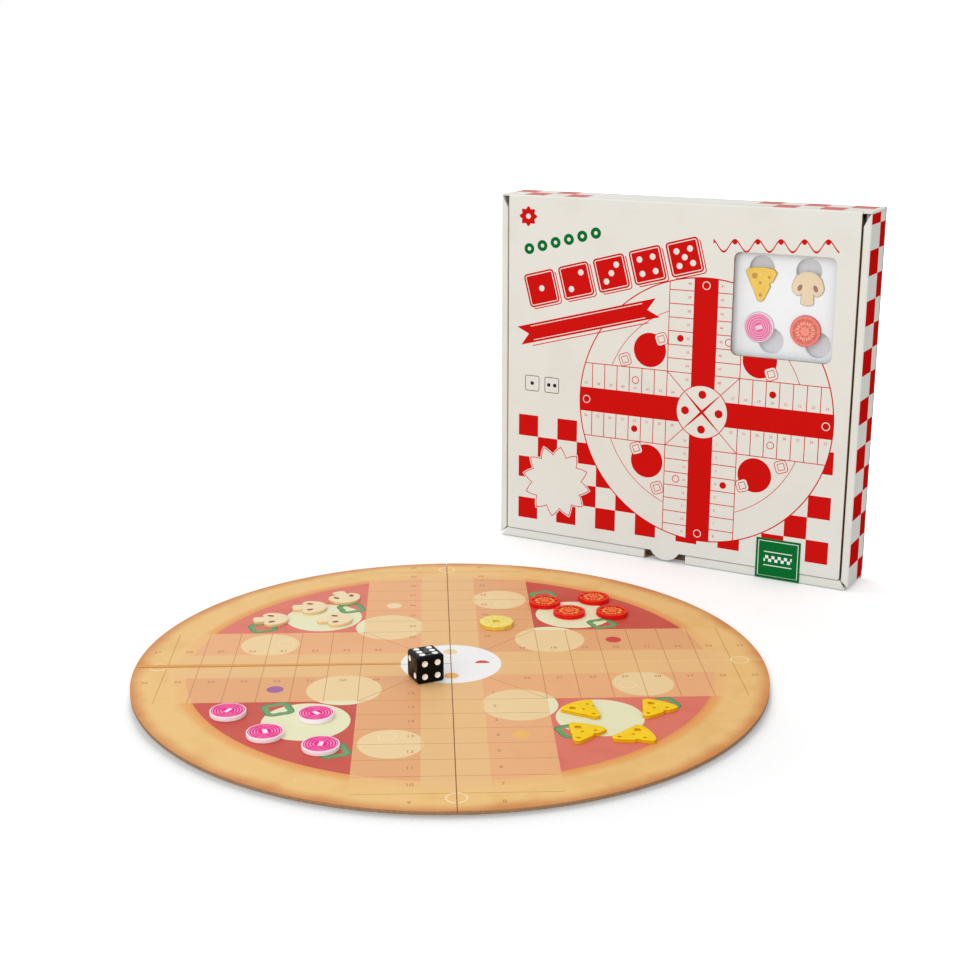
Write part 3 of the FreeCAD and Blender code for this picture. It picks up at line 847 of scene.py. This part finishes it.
def softened(node, matrix, width, finish, beyond=0.0):
    """Copy of a solid with its sharp edges rounded as a moulding's are, and its own coordinates stored."""
    merge_reach = 2e-6
    flat_angle, sharp_angle, crisp_angle = [math.radians(degrees) for degrees in (0.5, 40, 32)]
    mesh = nodes[node].data.copy()
    inverse = matrix.inverted()
    build = bmesh.new()
    build.from_mesh(mesh)
    bmesh.ops.remove_doubles(build, verts=build.verts, dist=merge_reach)
    bmesh.ops.dissolve_limit(build, angle_limit=flat_angle, verts=build.verts, edges=build.edges)
    weight = build.edges.layers.float.new("bevel_weight_edge")
    for edge in build.edges:
        middle = inverse @ ((edge.verts[0].co + edge.verts[1].co) / 2) / MM
        sharp = len(edge.link_faces) == 2 and edge.calc_face_angle() > sharp_angle
        if sharp and math.hypot(middle.x, middle.y) > beyond:
            edge[weight] = 1.0
    build.to_mesh(mesh)
    build.free()
    piece = new_piece("moulded_" + node, mesh)
    if width:
        bevel = piece.modifiers.new("soft_edges", "BEVEL")
        bevel.width = width * MM
        bevel.segments = 3
        bevel.limit_method = "WEIGHT"
    piece.data = evaluated(piece)
    piece.modifiers.clear()
    stored = piece.data.attributes.new("piece_mm", "FLOAT_VECTOR", "POINT")
    for entry, vertex in zip(stored.data, piece.data.vertices):
        entry.vector = inverse @ vertex.co / MM
    piece.data.materials.clear()
    piece.data.materials.append(finish)
    piece.data.shade_smooth()
    piece.data.set_sharp_from_angle(angle=crisp_angle)
    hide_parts(node)
    return piece


def set_out_pieces():
    """Tokens, ring and die on the board and tokens in the tray, whose tomato and onion are paler with a
    painted reflection of the window film.
    """
    tomato = tomato_finish("tomato_plastic", ink(228, 24, 14), ink(244, 112, 64), ink(206, 34, 16),
                           ink(240, 72, 48))
    onion = onion_finish("onion_plastic", ink(236, 12, 138))
    finishes = {"mushroom": mushroom_finish(), "tomato": tomato, "onion": onion, "cheese": cheese_finish()}
    # Painted reflection of the window film: paler copies of the tomato and onion finishes for the tray
    tomato_painted_reflection = tomato_finish("tomato_plastic_painted_reflection", ink(240, 94, 76), ink(252, 142, 116), ink(226, 76, 56),
                                ink(250, 132, 110))
    onion_painted_reflection = onion_finish("onion_plastic_painted_reflection", ink(240, 80, 162))
    tray_finishes = finishes | {"tomato": tomato_painted_reflection, "onion": onion_painted_reflection}
    soft_edge, plain_reach = 0.3, 0.43 * token_size
    plain_within = {"mushroom": 0.0, "tomato": plain_reach, "onion": plain_reach, "cheese": 0.0}
    for kind, places in piece_places.items():
        beyond = plain_within[kind]
        for index, place in enumerate(places, 1):
            node = f"{kind}_{index}"
            piece = softened(node, place_matrix(*place), soft_edge, finishes[kind], beyond)
            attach(piece, node)
        node = f"tray_{kind}"
        piece = softened(node, tray_matrix(kind), soft_edge, tray_finishes[kind], beyond)
        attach(piece, "carton")
    pineapple_spot = place_matrix(*pineapple_place)
    pineapple = softened("pineapple", pineapple_spot, soft_edge, pineapple_finish(), plain_reach)
    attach(pineapple, "pineapple")
    die = softened("die", place_matrix(*die_place), 0, die_finish())
    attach(die, "die")


def tray_matrix(kind):
    """Where a token lies in the tray."""
    low, high = carton_box(f"tray_{kind}")
    middle = (low + high) / 2
    middle.z = low.z
    below_middle = {"cheese": 0.52, "mushroom": 0.55}
    if kind in below_middle:
        middle.y = low.y + below_middle[kind] * token_size
    turn = Matrix.Rotation(math.radians(tray_turns[kind]), 4, "Z")
    return carton @ Matrix.Translation(middle * MM) @ turn


def track_numbers(radius, arm, offset, size):
    """Small plain cell numbers round a track, as meshes with the spots that they stand at."""
    pitch = (radius - arm) / cell_count
    rows = [arm + (step - 0.5) * pitch for step in range(cell_count + 1)]
    spots = []
    for quarter_turn in range(4):
        turn = Matrix.Rotation(math.radians(90 * quarter_turn), 4, "Z")
        spots += [turn @ Vector((offset, -row, 0)) for row in rows]
        spots += [turn @ Vector((-offset, -row, 0)) for row in reversed(rows)]
    for number, spot in enumerate(spots, 1):
        words = bpy.data.curves.new("cell_number", "FONT")
        words.body = str(number)
        words.size = size * MM
        words.extrude = 0.01 * MM
        words.align_x = "CENTER"
        words.align_y = "CENTER"
        holder = bpy.data.objects.new("cell_number", words)
        mesh = bpy.data.meshes.new_from_object(holder)
        mesh.transform(Matrix.Translation(spot * MM))
        yield spot, mesh
        bpy.data.objects.remove(holder)
        bpy.data.curves.remove(words)
        bpy.data.meshes.remove(mesh)


def finished(name, build, finish):
    """Piece from a built mesh and one finish."""
    mesh = bpy.data.meshes.new(name)
    build.to_mesh(mesh)
    build.free()
    mesh.materials.append(finish)
    return new_piece(name, mesh)


def cell_numbers():
    """Numbers on the board, one mesh for each quarter, and on the lid's drawing."""
    lift = 0.012 * MM
    brown = Finish("number_ink", ink(168, 116, 76), 0.5).done()
    builds = {quarter: bmesh.new() for quarter in quarters}
    place = Matrix.Translation(board_middle + Vector((0, 0, board_top + lift)))
    board_offset, board_size, lid_offset, lid_size = lane_half + 6.0, 4.8, drawn_bar + 3.4, 2.8
    for spot, mesh in track_numbers(board_radius, arm_half, board_offset, board_size):
        mesh.transform(place)
        builds[("front_" if spot.y < 0 else "rear_") + ("left" if spot.x < 0 else "right")].from_mesh(mesh)
    for quarter, build in builds.items():
        piece = finished("cell_numbers_" + quarter, build, brown)
        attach(piece, "panel_" + quarter)
    red = Finish("lid_number_ink", red_tone, 0.5).done()
    lid_build = bmesh.new()
    corner = Vector((lid_low.x, lid_foot, carton_depth))
    middle = (corner + Vector((*lid_circle, 0))) * MM + Vector((0, 0, lift))
    for _, mesh in track_numbers(drawn_radius, drawn_arm, lid_offset, lid_size):
        mesh.transform(carton @ Matrix.Translation(middle))
        lid_build.from_mesh(mesh)
    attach(finished("lid_numbers", lid_build, red), "lid")


# Pieces that repeat, grown by Geometry Nodes

class Growth:
    """Geometry Nodes tree with named sizes, turned into a plain mesh."""

    def __init__(self, name, **sizes):
        self.tree = bpy.data.node_groups.new(name, "GeometryNodeTree")
        self.sizes = sizes
        face = self.tree.interface
        for label, value in sizes.items():
            kind = "NodeSocketInt" if isinstance(value, int) else "NodeSocketFloat"
            face.new_socket(label, in_out="INPUT", socket_type=kind)
        face.new_socket("finish", in_out="INPUT", socket_type="NodeSocketMaterial")
        face.new_socket("Geometry", in_out="OUTPUT", socket_type="NodeSocketGeometry")
        self.given = self.tree.nodes.new("NodeGroupInput")

    def size(self, label):
        return Field(self.tree, self.given.outputs[label])

    def node(self, kind, **inputs):
        return add_node(self.tree, "GeometryNode" + kind, **inputs)

    def vector(self, x, y, z):
        return add_node(self.tree, "ShaderNodeCombineXYZ", X=x, Y=y, Z=z).outputs[0]

    def index(self):
        return Field(self.tree, self.node("InputIndex").outputs[0])

    def mesh(self, shape, finish):
        """Evaluate the tree with its sizes and give the mesh that it makes."""
        smooth = self.node("SetShadeSmooth", Geometry=shape)
        whole = self.node("RealizeInstances", Geometry=smooth.outputs[0])
        painted = self.node("SetMaterial", Geometry=whole.outputs[0], Material=self.given.outputs["finish"])
        add_node(self.tree, "NodeGroupOutput", Geometry=painted.outputs[0])
        holder = new_piece(self.tree.name, bpy.data.meshes.new(self.tree.name))
        grow = holder.modifiers.new("grow", "NODES")
        grow.node_group = self.tree
        values = dict(self.sizes, finish=finish)
        for entry in self.tree.interface.items_tree:
            if entry.in_out == "INPUT":
                grow[entry.identifier] = values[entry.name]
        mesh = evaluated(holder)
        bpy.data.objects.remove(holder)
        return mesh


def seed_finish(name, light, deep):
    """Pale plastic, deeper in patches."""
    finish = Finish(name, light, 0.4, specular=0.1)
    sheet = finish.room_sheet(Matrix.Identity(4))
    finish.layer(deep, sheet.noise(1.4).slope(0.5, 0.7), 0.5)
    return finish.done()


def seed_mesh(finish):
    """Plump seeds, two in each pocket of a tomato slice, standing on the pocket floor."""
    growth = Growth("tomato_seeds", pockets=8, ring=0.265 * token_size * MM, length=0.15 * token_size * MM,
                    width=0.062 * token_size * MM, height=0.85 * relief * MM)
    index = growth.index()
    pocket = (index / 2).floor() + index.cycle(2.0) * 0.4 + 0.3
    angle = pocket * (2 * math.pi) / growth.size("pockets")
    ring = growth.size("ring")
    place = growth.vector(angle.apply("COSINE") * ring, angle.apply("SINE") * ring, 0.0)
    points = growth.node("Points", Count=growth.size("pockets") * 2, Position=place)
    seed = growth.node("MeshIcoSphere", Radius=1.0, Subdivisions=2)
    turn = growth.vector(0.0, 0.0, angle)
    scale = growth.vector(growth.size("length") / 2, growth.size("width") / 2, growth.size("height"))
    seeds = growth.node("InstanceOnPoints", Points=points.outputs[0], Instance=seed.outputs[0], Rotation=turn,
                        Scale=scale)
    return growth.mesh(seeds.outputs[0], finish)


def set_out_seeds():
    """Seeds in the tomato slices on the board, and ones in the tray's that are paler with a painted
    reflection of the window film.
    """
    yellow = seed_finish("seed_plastic", ink(255, 208, 88), ink(244, 166, 52))
    # Painted reflection of the window film: paler seeds for the tray's tomato
    seed_reflection_finish = seed_finish("seed_plastic_painted_reflection", ink(255, 222, 176), ink(250, 190, 140))
    floor = Matrix.Translation((0, 0, (piece_height("tomato_1") - relief) * MM))
    slices = [(f"tomato_{index}", place_matrix(*place), yellow)
              for index, place in enumerate(piece_places["tomato"], 1)]
    for body, matrix, finish in slices + [("carton", tray_matrix("tomato"), seed_reflection_finish)]:
        placed = seed_mesh(finish)
        placed.transform(matrix @ floor)
        piece = new_piece("seeds_" + body, placed)
        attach(piece, body)


def fluting_mesh(length, finish):
    """Wavy paper of the corrugated sheet as its cut edge shows it, along Y."""
    growth = Growth("fluting", length=length * MM, pitch=flute_pitch * MM,
                    wave=0.3 * sheet_thickness * MM, paper=0.15 * MM, steps=10)
    count = growth.size("length") / growth.size("pitch") * growth.size("steps")
    line = growth.node("CurvePrimitiveLine", End=growth.vector(0.0, growth.size("length"), 0.0))
    even = growth.node("ResampleCurve", Curve=line.outputs[0], Count=count)
    turn = growth.index() * (2 * math.pi) / growth.size("steps")
    lift = growth.vector(0.0, 0.0, turn.apply("SINE") * growth.size("wave"))
    wavy = growth.node("SetPosition", Geometry=even.outputs[0], Offset=lift)
    section = growth.node("CurvePrimitiveCircle", Resolution=6, Radius=growth.size("paper"))
    tube = growth.node("CurveToMesh", Curve=wavy.outputs[0], Profile_Curve=section.outputs[0], Fill_Caps=True)
    return growth.mesh(tube.outputs[0], finish)


def lid_fluting():
    """Flutes in the cut edges at the sides of the lid and of its window."""
    finish = Finish("flute_paper", ink(170, 126, 84), 0.85)
    sheet = finish.room_sheet(carton)
    finish.layer(ink(126, 88, 54), sheet.noise(0.9, 4.0).slope(0.45, 0.7), 0.6)
    material = finish.done()
    film_border, corner = 8.0, 6.0
    film_low, film_high = carton_box("window_film")
    window_low = film_low.y + film_border + corner
    window_high = film_high.y - film_border - corner
    lid_start, lid_end = lid_low.y + 14, lid_high.y - 4
    edges = ((lid_low.x, lid_start, lid_end), (lid_high.x, lid_start, lid_end),
             (film_low.x + film_border, window_low, window_high),
             (film_high.x - film_border, window_low, window_high))
    build = bmesh.new()
    for edge_x, start, end in edges:
        mesh = fluting_mesh(end - start, material)
        middle = Vector((edge_x, start, carton_depth - sheet_thickness / 2)) * MM
        mesh.transform(carton @ Matrix.Translation(middle))
        build.from_mesh(mesh)
        bpy.data.meshes.remove(mesh)
    piece = finished("lid_fluting", build, material)
    piece.data.shade_smooth()
    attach(piece, "lid")


# Paper that crosses the board's folds

def paper_strip(name, low, high, finish):
    """Thin strip of paper between two corners in millimetres from the board's middle, in narrow lanes."""
    lanes = 6
    across = 0 if high[0] - low[0] < high[1] - low[1] else 1
    build = bmesh.new()
    bmesh.ops.create_cube(build, size=1.0)
    long_edges = [edge for edge in build.edges
                  if abs((edge.verts[0].co - edge.verts[1].co)[across]) > 0.5]
    bmesh.ops.subdivide_edges(build, edges=long_edges, cuts=lanes - 1, use_grid_fill=True)
    for vertex in build.verts:
        share = vertex.co + Vector((0.5, 0.5, 0.5))
        spot = [start + (end - start) * part for start, end, part in zip(low, high, share)]
        vertex.co = board_spot(*spot)
    return finished(name, build, finish)


def fold_papers(face, back):
    """Lining across the two lower folds, and printed paper across the upper one."""
    half = fold_gap / 2
    rim = board_radius - 0.1
    for name, low_y, high_y, first, second in (
            ("rear", half, rim, "panel_rear_left", "panel_rear_right"),
            ("front", -rim, -half, "panel_front_left", "panel_front_right")):
        strip = paper_strip("fold_lining_" + name, (-half, low_y, 0.02), (half, high_y, 0.2), back)
        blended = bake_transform(strip)
    reach = 0.7
    top = board_top / MM
    strip = paper_strip("fold_crease_right", (half, -reach, top), (rim - reach, reach, top + 0.03), face)
    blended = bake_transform(strip)


def dress(material, *names):
    """Give the named solids one finish."""
    for name in names:
        mesh = nodes[name].data
        mesh.materials.clear()
        mesh.materials.append(material)


def dress_frame():
    papers = {"face": board_face(), "core": greyboard(), "back": lining()}
    for kind, material in papers.items():
        dress(material, *[f"board_{kind}_{quarter}" for quarter in quarters])
    fold_papers(papers["face"], papers["back"])
    dress(lid_print(), "lid_panel")
    dress(side_print(), "box_left_wall", "box_right_wall")
    dress(back_print(), "box_back_wall")
    dress(plain_card(), "box_front_wall", "box_base")
    dress(kraft_card(), "corner_flap_left", "corner_flap_right", "lid_tuck_flap", "lid_dust_flap_left",
          "lid_dust_flap_right")
    dress(seal_print(), "seal_label")
    dress(film_finish(), "window_film")
    dress(tray_finish(), "tray")


# Room, light and camera

def white_floor():
    """White table top: it glows for the camera, less so near the board, and has a painted shadow close before
    it.
    """
    size, depth = 8.0, -0.0003
    mesh = bpy.data.meshes.new("floor")
    corners = [(-size, -size, depth), (size, -size, depth), (size, size, depth), (-size, size, depth)]
    mesh.from_pydata(corners, [], [(0, 1, 2, 3)])
    finish = Finish("floor_white", ink(255, 255, 255), 0.9, specular=0.1)
    tree = finish.tree
    coords = tree.nodes.new("ShaderNodeTexCoord")
    plan = Sheet(tree, coords.outputs["Object"])
    reach = plan.away(board_middle.x, board_middle.y)
    nearby = add_node(tree, "ShaderNodeAmbientOcclusion", Distance=0.04)
    nearby.samples = 8
    white, near_glow, far_glow = 0.82, 0.26, 0.98
    # Painted shadow just before the board: occlusion raised to a higher power there, and the glow lowered
    before_board = plan.y.slope(board_middle.y - 0.03, board_middle.y - 0.16) * reach.slope(0.26, 0.23)
    contact = Field(tree, nearby.outputs["AO"]).apply("POWER", before_board * 7 + 0.15).either(0.6)
    tone = contact * white
    finish.colour = add_node(tree, "ShaderNodeCombineColor", Red=tone, Green=tone, Blue=tone).outputs[0]
    mesh.materials.append(finish.done())
    strength = reach.slope(0.22, 0.6) * (far_glow - near_glow) - before_board * 0.06 + near_glow
    glow = add_node(tree, "ShaderNodeEmission", Strength=strength * contact * seen_directly(tree))
    both = tree.nodes.new("ShaderNodeAddShader")
    for slot, shader in zip(both.inputs, (finish.shader, glow)):
        feed(tree, slot, shader.outputs[0])
    feed(tree, tree.nodes["Material Output"].inputs["Surface"], both.outputs[0])
    new_piece("floor", mesh)


def seen_directly(tree):
    """One for rays from the camera, and for what gloss and clear film show of them."""
    path = tree.nodes.new("ShaderNodeLightPath")
    seen = Field(tree, path.outputs["Is Camera Ray"])
    for name in ("Is Glossy Ray", "Is Transmission Ray"):
        seen = seen.either(Field(tree, path.outputs[name]))
    return seen


def soft_light():
    """Even white surroundings, and two large lamps aimed at the board."""
    world = bpy.data.worlds.new("studio")
    bpy.context.scene.world = world
    world.use_nodes = True
    tree = world.node_tree
    background = tree.nodes["Background"]
    ambient = 0.6
    aim_spot = Vector((0, 0, 0.05))
    feed(tree, background.inputs["Strength"], seen_directly(tree) * (1 - ambient) + ambient)
    background.inputs["Color"].default_value = (1, 1, 1, 1)
    lamps = (("key", (-0.5, 0.6, 1.4), 1.0, 6.0), ("fill", (-0.6, -1.35, 0.9), 1.4, 12.5))
    for name, place, size, power in lamps:
        lamp = bpy.data.lights.new(name, "AREA")
        lamp.size = size
        lamp.energy = power
        holder = new_piece(name, lamp)
        holder.location = place
        aim = aim_spot - Vector(place)
        holder.rotation_euler = aim.to_track_quat("-Z", "Y").to_euler()


def photo_camera():
    lens = bpy.data.cameras.new("camera")
    lens.lens = camera_lens
    lens.sensor_width = 36
    holder = new_piece("camera", lens)
    holder.location = board_middle + camera_place
    holder.rotation_euler = (math.radians(90) - camera_pitch, 0, camera_turn)
    bpy.context.scene.camera = holder


bpy.context.scene.view_settings.view_transform = "Standard"
dress_frame()
set_out_pieces()
set_out_seeds()
lid_fluting()
cell_numbers()
white_floor()
soft_light()
photo_camera()
